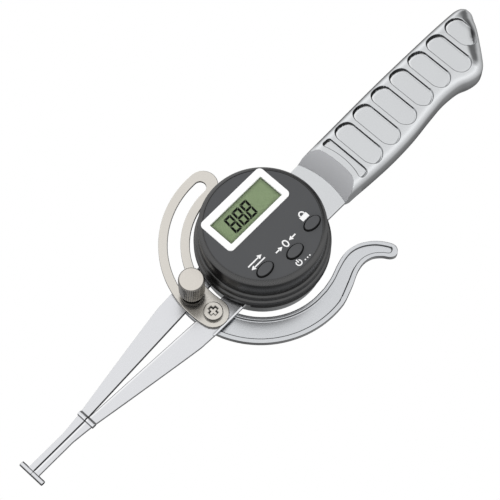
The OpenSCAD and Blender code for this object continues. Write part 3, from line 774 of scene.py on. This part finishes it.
    def slope_lines(upper):
        """Points where the sloped front starts, and where it meets the rounded grip."""
        lines = []
        for a in np.arange(-20, 22, 0.6):
            ray = np.array([polar(radius, a) for radius in np.arange(SLOPE_R, SLOPE_R + 9, 0.02)])
            ray = ray[-distance(ray, outline) > 0.01]
            if len(ray) < 3:
                continue
            lines.append([ray[0], ray[2]])
            d = -distance(ray, outline)
            if upper:
                gap = GRIP_H - rounding(d, TOP_R) - BASE_H - slope(ray)
            else:
                gap = NECK_LOW - slope(ray) - rounding(d, LOW_R)
            under = np.where(gap <= 0)[0]
            if len(under):
                lines.append([ray[under[0]], ray[max(under[0] - 6, 0)]])
        return [np.concatenate(lines)]

    rings = rings_along(outline, EDGE_RINGS)
    for loop in loops:
        rings += rings_along(loop, POCKET_RINGS)
    # The grip's walls past x = 50 carry painted shade that grows towards the bottom
    terrain("handle_grip", outline, top, bottom, rings + slope_lines(True), rings + slope_lines(False),
            1.3, CAST, "body", marks={"painted_shade": painted_shade, "facet": facet, "painted_highlight": painted_highlight}, wall_rows=6,
            wall_mark=lambda p: np.where(p[:, 0] > 50, 0.6, 0.0), wall_fade=True, angle=38,
            replaces=("body_casting",), slot="cast_grip")


make_handle()
cut_from("body_casting", "base_boss", CAST, "body", 1, BASE_CUT_X, "cast_grip")


# Legs

LEG_T, FIXED_LOW, SWING_LOW = 1.8, 6.7, 6.4
LEG_LINE, LEG_GAP, TIP_X, BLADE_W, ROOT_W, RIB_X = -0.35, 0.15, 141.2, 2.9, 13.5, 109
RIB_R, RIB_OUT, LEG_CUT_X = 1.1, 4.5, -27.0
# The split between the legs is this wide on each side, at this distance from the pivot
SPLIT_HALF, SPLIT_X = 4.7, 10
# The fixed leg's ground edge runs from here to the head
GROUND_X = -45.5
TIP_R, TIP_REACH, TIP_Z, TIP_SIDES = 1.2, 6.6, 7.45, 40


def leg_edges():
    """Inner and outer edge of a leg on the +Y side, from the root to the tip and back."""
    slope = (LEG_GAP - SPLIT_HALF) / (RIB_X - 1.5 - SPLIT_X)
    inner = [(LEG_CUT_X, SPLIT_HALF + slope * (-LEG_CUT_X - SPLIT_X)), (-RIB_X + 1.5, LEG_GAP),
             (-TIP_X + 0.9, LEG_GAP)]
    outer = smooth([(-RIB_X - 11, BLADE_W), (-RIB_X - 6, BLADE_W + 0.5), (-RIB_X - RIB_R, 3.95)], 6)
    outer += [(-RIB_X - RIB_R + 0.05, RIB_OUT), (-RIB_X + RIB_R - 0.05, RIB_OUT)]
    outer += smooth([(-RIB_X + RIB_R, 4.3), (-86, 7.9), (-56, 12.6), (-50, 13.2), (-44, ROOT_W)], 8)
    return inner, [(-TIP_X + 0.9, BLADE_W)] + outer + [(LEG_CUT_X, ROOT_W)]


def make_leg(which, side, low, body):
    """A blade with worn edges and a round rib; side is 1 for the moving leg and -1 for the fixed one."""
    high = low + LEG_T
    inner, outer = leg_edges()

    def place(points):
        return np.array([(x, LEG_LINE + side * y) for x, y in points])

    outline = subdivide(place(inner + outer), 0.5)
    inner_line, outer_line = place(inner), place(outer)

    def to_line(p, line):
        """Distance along Y from a leg's edge."""
        return np.abs(p[:, 1] - np.interp(p[:, 0], *line[np.argsort(line[:, 0])].T))

    def bright_edge(p):
        """The fixed leg has a ground edge beside the head."""
        on = (p[:, 0] > GROUND_X) & (to_line(p, outer_line) < 3)
        return np.where(on & (side < 0), unit((p[:, 0] - GROUND_X) / 1.2), 0)

    def top(p):
        d = np.maximum(-distance(p, outline), 0)
        z = high - rounding(d, 0.22)
        z = z - bright_edge(p) * unit(0.8 - to_line(p, outer_line))
        off = np.abs(p[:, 0] + RIB_X)
        rib = high - 0.3 + np.sqrt(np.maximum(RIB_R ** 2 - off ** 2, 0)) - rounding(d, 0.22)
        return np.where(off < RIB_R, np.maximum(z, rib), z)

    def bottom(p):
        return low + rounding(np.maximum(-distance(p, outline), 0), 0.15)

    # Painted shade: dark lines beside the rib and the ground edge, along the split and along the outer edge
    def painted_shade(p):
        off = np.abs(p[:, 0] + RIB_X)
        rib = band(off, 0.92, 1.4, 0.12) * 0.78
        ground = bright_edge(p) * band(to_line(p, outer_line), 0.78, 1.02, 0.1) * 0.8
        blade = p[:, 0] > -TIP_X + 0.95
        split = band(to_line(p, inner_line), -1, 0.24, 0.08) * 0.95 * blade
        rim = band(to_line(p, outer_line), -1, 0.1, 0.05) * 0.5 * blade
        return np.max([rib, ground, split, rim], axis=0)

    def painted_highlight(p):
        """Painted highlight beside the split of the fixed leg."""
        return band(to_line(p, inner_line), 0.36, 0.85, 0.12) * (0.8 if side < 0 else 0.0)

    # Painted shade on the walls, darkest beside the ground edge and on the inner walls
    def wall_mark(p):
        inside = to_line(p, inner_line) < 0.02
        end = p[:, 0] < -TIP_X + 0.91
        rib = (np.abs(p[:, 0] + RIB_X) < RIB_R + 0.1) & ~inside
        ground = (p[:, 0] > GROUND_X) & ~inside & (side < 0)
        return np.where(inside & ~end, 0.8, np.where(rib, 0.7, np.where(ground, 0.9, 0.4)))

    rings = rings_along(outline, (0.02, 0.05, 0.1, 0.16, 0.22, 0.3, 0.45, 0.8, 1.05))
    across = np.arange(LEG_GAP, RIB_OUT, 0.3)
    for off in (0.35, 0.7, 0.9, 1.0, 1.08, 1.12, 1.2, 1.35, 1.45, 1.7):
        rings += [place([(-RIB_X + turn * off, y) for y in across]) for turn in (-1, 1)]
    terrain(which + "_blade", outline, top, bottom, rings, rings[:4], 1.1, LEG, body,
            marks={"painted_shade": painted_shade, "painted_highlight": painted_highlight}, wall_mark=wall_mark, wall_rows=2, angle=35,
            replaces=(which + "_leg",), slot="leg_steel")


def make_tip(which, side, high, body):
    """Contact bar of a leg: a round bar, a little flattened on top, with ground ends."""
    low = TIP_Z - TIP_R
    mid = (low + high) / 2
    half = (high - low) / 2
    circle = arc(0, 0, 1, 0, 360, TIP_SIDES)[:-1]
    section = [[math.copysign(abs(v) ** 0.75, v) for v in point] for point in circle]
    # Painted shade along the bar's sides and on its ends
    sides = [min(1, max(0, (abs(c) - 0.48) / 0.2)) * 0.9 for c, _ in section]
    rows, painted_shades = [], []
    end = TIP_REACH - 0.05
    # Distance from the leg's middle line, and share of the full section
    for y, k in ((LEG_GAP, 1), (1.5, 1), (3, 1), (4.5, 1), (end - 0.4, 1), (end - 0.2, 0.97),
                 (end - 0.06, 0.88), (end, 0.74)):
        rows.append([(-TIP_X + TIP_R * k * c, LEG_LINE + side * y, mid + half * k * s) for c, s in section])
        painted_shades.append([max(dark, min(1, (1 - k) * 4)) for dark in sides])
    if side > 0:
        rows, painted_shades = rows[::-1], painted_shades[::-1]
    stack(which + "_tip", rows, LEG, body, marks={"painted_shade": [v for row in painted_shades for v in row]},
          replaces=(which + "_tip_pin",), slot="pin_steel", angle=50)


make_leg("moving", 1, SWING_LOW, "jaw")
make_leg("fixed", -1, FIXED_LOW, "body")
cut_from("moving_leg", "moving_hub", LEG, "jaw", -1, LEG_CUT_X - 0.5, "leg_steel", 0.1)
cut_from("fixed_leg", "fixed_root", LEG, "body", -1, LEG_CUT_X - 0.5, "leg_steel", 0.1)
make_tip("moving", 1, SWING_LOW + LEG_T + 0.05, "jaw")
make_tip("fixed", -1, FIXED_LOW + LEG_T + 0.05, "body")


# Lever

LEVER_IN, LEVER_OUT, LEVER_LOW, LEVER_TOP, CHANNEL = 32.8, 45.2, 3.0, 6.1, 1.2
HOOK_IN = [(4, -32.7), (10, -31.6), (16, -29.6), (21, -28.4), (25.5, -28.4), (30.6, -30), (35.6, -33.7),
           (39, -38.1), (40.4, -41.6)]
HOOK_TIP = [(39.5, -44.2), (37, -45.3), (34.7, -44.1)]
HOOK_OUT = [(32.6, -41.1), (29.4, -38.4), (25, -37.3), (19.9, -38.2), (13.8, -40.8), (7, -43.2)]
GROOVE_IN = [(4, -34.4), (10, -33.3), (16, -31.4), (21, -30.2), (25.5, -30.1), (30.1, -31.7), (34.5, -35.1),
             (37.4, -39.2)]
GROOVE_OUT = [(38.3, -41.7), (36.2, -42.5), (34, -39.9), (30.5, -36.9), (25.5, -35.3), (19.9, -36),
              (13.9, -38.3), (7, -40.9)]


def fading_arc(r0, r1, start, end, steps):
    return [polar(r0 + (r1 - r0) * i / steps, start + (end - start) * i / steps) for i in range(steps + 1)]


def make_lever():
    plan = (arc(0, 0, LEVER_IN, 165, 268, 60) + smooth(HOOK_IN + HOOK_TIP + HOOK_OUT, 8)
            + fading_arc(LEVER_OUT - 1.2, LEVER_OUT, 276, 200, 48) + arc(0, 0, LEVER_OUT, 196, 165, 16))
    channel = (arc(0, 0, LEVER_IN + 1.75, 184, 268, 50) + smooth(GROOVE_IN + GROOVE_OUT, 8)
               + fading_arc(LEVER_OUT - 3.3, LEVER_OUT - 2, 276, 200, 48)
               + arc(0, 0, LEVER_OUT - 2, 196, 184, 8))
    plan, channel = resample(plan, 0.5), resample(channel, 0.4)
    # The channel's outer side, whose wall is hidden from the front
    outer_side = np.array(smooth(GROOVE_OUT, 12) + fading_arc(LEVER_OUT - 3.3, LEVER_OUT - 2, 276, 184, 300))

    def top(p):
        z = LEVER_TOP - rounding(np.maximum(-distance(p, plan), 0), 0.35)
        return z - recess(distance(p, channel), CHANNEL, lip=0.25, foot=0.35, wall=0.06)

    def bottom(p):
        return LEVER_LOW + rounding(np.maximum(-distance(p, plan), 0), 0.3)

    # Painted shade along the rim and the channel's edges, wider on the channel's hidden outer side
    def painted_shade(p):
        rim = band(-distance(p, plan), -1, 0.1, 0.06) * 0.7
        s = distance(p, channel)
        hidden = np.array([np.hypot(*(outer_side - q).T).min() < 0.7 for q in p])
        return np.maximum(band(s, -0.18, np.where(hidden, 0.34, 0.12), 0.08) * 0.88, rim)

    edge = rings_along(plan, (0.02, 0.06, 0.12, 0.2, 0.35, 0.55))
    groove = rings_along(channel, (1.0, 0.6, 0.41, 0.3, 0.24, 0.18, 0.12, 0.06, 0, -0.03, -0.08, -0.14, -0.25,
                                   -0.45))
    # The lever's walls carry painted shade that grows towards the bottom
    terrain("finger_lever", plan, top, bottom, edge + groove, edge, 1.2, LEVER, "jaw",
            marks={"painted_shade": painted_shade}, wall_mark=lambda p: np.full(len(p), 0.35), wall_fade=True,
            angle=40, replaces=("trigger_lever",), slot="cast_grip")


make_lever()


# Display head

HEAD_TOP_R, FACE_TOP, SKIRT_SIDES = 27.9, 30.3, 192
# Angles between which the skirt is notched, and the notch's height
NOTCH, NOTCH_Z = (68.0, 213.0), 11.0


def skirt_height(z, angle):
    """The skirt's underside is higher over the swing of the leg."""
    if NOTCH[0] < angle < NOTCH[1] and z < NOTCH_Z:
        return NOTCH_Z + (z - BASE_H) * 0.3
    return z


def make_skirt():
    """Lower case: a straight skirt, a groove, a round shoulder and the joint below the upper case."""
    profile = [(8.5, BASE_H), (29.75, BASE_H), (29.92, 9.08), (30.0, 9.25)]
    profile += [(30.0, 14.35), (29.95, 14.5), (29.8, 14.6), (29.5, 14.75), (29.35, 14.95), (29.4, 15.15),
                (29.2, 15.3)]
    profile += oval(HEAD_TOP_R + 0.05, 15.4, 1.25, 2.75, 0, 90, 15)
    profile += [(27.9, 18.18), (26.2, 18.18), (26.2, 12.8), (8.5, 12.8)]
    angles = {360 * i / SKIRT_SIDES for i in range(SKIRT_SIDES)}
    angles = sorted(angles | {side + off for side in NOTCH for off in (-0.02, 0.02)})
    rows = [[(*polar(r, a), skirt_height(z, a)) for r, z in profile] for a in angles]
    stack("skirt_case", rows, BLACK, "body", ring=True, replaces=("lower_case",), slot="black_case", angle=30)


make_skirt()


# Lock knob and quadrant screw

SLOT_R = 38.6
KNOB_AT = polar(SLOT_R, 171.3)
KNOB_R, KNOB_LOW, KNOB_TOP, COLLAR_LOW, COLLAR_R = 5.7, 14.5, 27.0, 11.3, 3.6
TEETH, TEETH_STEPS, TOOTH = 44, 6, 0.26


def make_knob():
    cx, cy = KNOB_AT
    n = TEETH * TEETH_STEPS
    # Radius, height, share of the tooth depth, and painted shade (darkest on the collar and under the knob)
    profile = [(2.05, KNOB_TOP - 2.2, 0, 0), (2.05, COLLAR_LOW, 0, 0.9), (COLLAR_R - 0.2, COLLAR_LOW, 0, 0.9),
               (COLLAR_R, COLLAR_LOW + 0.2, 0, 0.9), (COLLAR_R, KNOB_LOW, 0, 0.95),
               (5.1, KNOB_LOW, 0, 0.95), (5.4, KNOB_LOW + 0.15, 0, 0.92), (KNOB_R, KNOB_LOW + 0.5, 1, 0.75)]
    profile += [(KNOB_R, z, 1, 0.55 * max(0, 1 - (z - KNOB_LOW) / 2.5))
                for z in np.linspace(KNOB_LOW + 1.1, KNOB_TOP - 1.2, 10)]
    profile += [(KNOB_R, KNOB_TOP - 0.6, 1, 0.1), (5.6, KNOB_TOP - 0.38, 0.7, 0.35),
                (5.46, KNOB_TOP - 0.2, 0.3, 0.8), (5.3, KNOB_TOP - 0.08, 0, 0.85),
                (5.16, KNOB_TOP - 0.03, 0, 0.6), (5.0, KNOB_TOP, 0, 0), (0.9, KNOB_TOP, 0, 0)]
    rows, painted_shades = [], []
    for r, z, k, mark in profile:
        row = []
        for i in range(n):
            bite = (0.5 - 0.5 * math.cos(2 * math.pi * i / TEETH_STEPS)) ** 0.8
            x, y = polar(r - TOOTH * k * bite, 360 * i / n)
            row.append((cx + x, cy + y, z))
            # Painted shade between the teeth
            painted_shades.append(max(mark, 0.9 * k * bite))
        rows.append(row)
    stack("knurled_knob", rows, KNURL, "knob", marks={"painted_shade": painted_shades}, replaces=("lock_knob",),
          slot="nickel", angle=50)


SCREW_AT = polar(SLOT_R, 189.8)
SCREW_R, SCREW_LOW, SCREW_TOP = 4.25, 10.0, 12.0
CROSS_LONG, CROSS_WIDE = 1.95, 0.68


def make_screw():
    """Cross-recessed head with its shank."""
    cx, cy = SCREW_AT
    outline = np.array(arc(cx, cy, SCREW_R, 0, 360, 120)[:-1])
    a, b = CROSS_LONG, CROSS_WIDE
    cross = [(b, b), (b, a), (-b, a), (-b, b), (-a, b), (-a, -b), (-b, -b), (-b, -a), (b, -a), (b, -b),
             (a, -b), (a, b)]
    cross = subdivide([(cx + x, cy + y) for x, y in cross], 0.15)

    def top(p):
        d = np.maximum(-distance(p, outline), 0)
        return SCREW_TOP - rounding(d, 0.4) - recess(distance(p, cross), 0.9, lip=0.12, foot=0.15, wall=0.06)

    def bottom(p):
        radius = np.hypot(p[:, 0] - cx, p[:, 1] - cy)
        return np.where(radius < 1.5, FIXED_LOW + 0.1, SCREW_LOW)

    # Painted shade in the cross and round the head's edge
    def painted_shade(p):
        s = distance(p, cross)
        return np.maximum(band(s, -0.16, 0.3, 0.12) * 0.95,
                          band(-distance(p, outline), -1, 0.12, 0.08) * 0.8)

    rings = rings_along(outline, (0.03, 0.1, 0.2, 0.3, 0.4, 0.5, 0.6, 0.75))
    rings += rings_along(cross, (0.4, 0.32, 0.26, 0.2, 0.13, 0.06, 0, -0.04, -0.08, -0.12, -0.25))
    shank = [np.array(arc(cx, cy, r, 0, 360, 40)[:-1]) for r in (1.45, 1.49, 1.51, 1.55)]
    # The head's walls carry painted shade
    terrain("cross_screw", outline, top, bottom, rings, shank, 0.5, NICKEL, "body",
            marks={"painted_shade": painted_shade}, wall_mark=lambda p: np.full(len(p), 0.8), wall_rows=2, angle=35,
            replaces=("quadrant_screw",), slot="nickel")


make_knob()
make_screw()


# Buttons, digits and marks

BUTTON_A, BUTTON_B, FLANGE = 4.35, 2.55, 0.85
BUTTON_LOW, FLANGE_TOP, BUTTON_TOP = 26.9, 27.7, 31.5


def make_button(key, place):
    """Oval button with a crowned top, straight sides and the flange inside the case."""
    rows = []
    for z, inset in ((BUTTON_LOW, -FLANGE), (FLANGE_TOP, -FLANGE), (FLANGE_TOP, 0), (BUTTON_TOP - 1.3, 0),
                     (BUTTON_TOP - 0.4, 0.24), (BUTTON_TOP - 0.18, 0.36), (BUTTON_TOP - 0.07, 0.54),
                     (BUTTON_TOP - 0.03, 0.95), (BUTTON_TOP - 0.01, 1.5), (BUTTON_TOP, 2.1)):
        rows.append([(x, y, z) for x, y in oval(*place, BUTTON_A - inset, BUTTON_B - inset)[:-1]])
    stack("key_" + key, rows, KEY, key + "_key", replaces=(key + "_button",), slot="grey_face", angle=40)


make_button("unit", (-14.5, -14.9))
make_button("zero", (0.2, -18.5))
make_button("hold", (14.8, -15.0))


def slab(name, polygons, low, high, material, slot):
    """Flat shapes with a small height."""
    verts, faces = [], []
    for loop in map(anticlockwise, polygons):
        start, n = len(verts), len(loop)
        lower, upper = tuple(range(start, start + n)), tuple(range(start + n, start + 2 * n))
        verts += [(x, y, z) for z in (low, high) for x, y in loop]
        faces += [lower[::-1], upper] + between(lower, upper)
    make_piece(name, verts, faces, material, "body", slot=slot)


# Place of the first digit, size and pitch of the digits, width of their bars and the gap between them
DIGIT_X, DIGIT_Y, DIGIT_W, DIGIT_H, DIGIT_PITCH, BAR_W, BAR_GAP = -10.7, 5.5, 4.1, 8.3, 4.85, 1.06, 0.13
SLANT = math.tan(math.radians(5))


def digit_segments(x):
    """The seven bars of one digit, with mitred ends."""
    y, h, t, end = DIGIT_Y, DIGIT_H, BAR_W, x + DIGIT_W
    e = t / 2

    def across(cy, up):
        a, b = x + BAR_GAP + e * 0.2, end - BAR_GAP - e * 0.2
        if up == 0:
            return [(a + e, cy - e), (b - e, cy - e), (b, cy), (b - e, cy + e), (a + e, cy + e), (a, cy)]
        return [(a, cy + up * e), (b, cy + up * e), (b - t, cy - up * e), (a + t, cy - up * e)]

    def along(cx, side, low, high):
        a, b = low + BAR_GAP, high - BAR_GAP
        outer, inner = cx + side * e, cx - side * e
        return [(outer, a), (outer, b), (inner, b - t * 0.8), (inner, a + t * 0.8)]

    bars = [across(y + e, -1), across(y + h / 2, 0), across(y + h - e, 1)]
    for low, high in ((y, y + h / 2), (y + h / 2, y + h)):
        bars += [along(x + e, -1, low, high), along(end - e, 1, low, high)]
    return [[(px + (py - y) * SLANT, py) for px, py in bar] for bar in bars]


def make_digits():
    bars = []
    for i in range(3):
        bars += digit_segments(DIGIT_X + DIGIT_PITCH * i)
    bars.append([(-1.5, 5.5), (-0.7, 5.5), (-0.65, 6.3), (-1.45, 6.3)])
    slab("display_digits", bars, 29.6, 29.66, SEGMENT, "black_case")


def stroke(ax, ay, bx, by, width):
    """A straight bar from one point to another."""
    length = math.hypot(bx - ax, by - ay)
    nx, ny = -(by - ay) / length * width / 2, (bx - ax) / length * width / 2
    return [(ax + nx, ay + ny), (ax - nx, ay - ny), (bx - nx, by - ny), (bx + nx, by + ny)]


def ring_strip(cx, cy, rx, ry, width, start, end, steps):
    """Part of an oval ring."""
    outer, inner = (oval(cx, cy, rx + e, ry + e, start, end, steps) for e in (width / 2, -width / 2))
    return [[outer[i], outer[i + 1], inner[i + 1], inner[i]] for i in range(steps)]


def arrow(x, y, way, tail, head, width):
    """Horizontal arrow whose point is at x; way is 1 when it points along +X."""
    shaft = stroke(x - way * tail, y, x - way * head * 0.9, y, width)
    return [shaft, [(x - way * head, y + head * 0.55), (x, y), (x - way * head, y - head * 0.55)]]


def make_marks():
    """Plain signs beside the buttons: two arrows past each other, a zero between arrows, a padlock,
    and a power ring with three dots."""
    w = 0.6
    shapes = arrow(-10.5, -9.0, 1, 8.2, 2.0, w) + arrow(-18.7, -11.0, -1, 8.2, 2.0, w)
    shapes += ring_strip(0.2, -13.1, 1.05, 1.55, w, 0, 360, 28)
    shapes += arrow(-1.9, -13.1, 1, 4.0, 1.9, w) + arrow(2.3, -13.1, -1, 4.0, 1.9, w)
    x, y = 14.8, -10.0
    shapes.append([(x - 2, y - 1.7), (x + 2, y - 1.7), (x + 2, y + 0.6), (x - 2, y + 0.6)])
    shapes += ring_strip(x, y + 1.0, 1.2, 1.3, w, 0, 180, 16)
    shapes += [stroke(x + side * 1.2, y + 0.5, x + side * 1.2, y + 1.02, w) for side in (-1, 1)]
    x, y = -2.4, -23.2
    shapes += ring_strip(x, y, 1.25, 1.25, 0.5, 125, 415, 26)
    shapes.append(stroke(x, y + 0.1, x, y + 1.75, 0.5))
    shapes += [arc(x + 2.9 + 1.4 * i, y - 1.0, 0.34, 0, 330, 11) for i in range(3)]
    slab("face_marks", shapes, FACE_TOP, FACE_TOP + 0.03, INK, "white_frame")


make_digits()
make_marks()


# Nodes that stay as they are, by material and the width of their worn edges

for material, bevel, names in (
    (BRONZE, 0.1, "pivot_bush rotor_nut"), (BRONZE, 0.05, "battery_clip"), (BRONZE, 0.03, "thrust_washer"),
    (CAST, 0.1, "pivot_cap"), (SPRING, 0, "return_spring"), (NICKEL, 0.28, "quadrant_plate"),
    (DARK_STEEL, 0.1, "leg_screws leg_dowel unit_screws"), (DARK_STEEL, 0.08, "case_screws"),
    (DARK_STEEL, 0.06, "shaft_clip"), (STEEL, 0.15, "coin_cell"), (STEEL, 0.1, "pivot_shaft lock_stud"),
    (STEEL, 0.08, "lever_rivets"), (STEEL, 0.05, "spring_pin"), (WASHER, 0.1, "lock_washer"),
    (RUBBER, 0.05, "case_seal"), (PAD, 0.1, "contact_strips button_pad"), (HOLDER, 0.1, "battery_holder"),
    (BLACK, 0.08, "upper_case"), (FACE, 0.06, "face_plate"), (WHITE, 0.16, "lcd_frame"),
    (CLEAR, 0, "window_lens"), (DISPLAY, 0, "lcd_panel"), (BOARD, 0.08, "circuit_board"),
    (BOARD, 0.06, "encoder_stator encoder_rotor"),
):
    for node in names.split():
        dress(node, material, bevel)
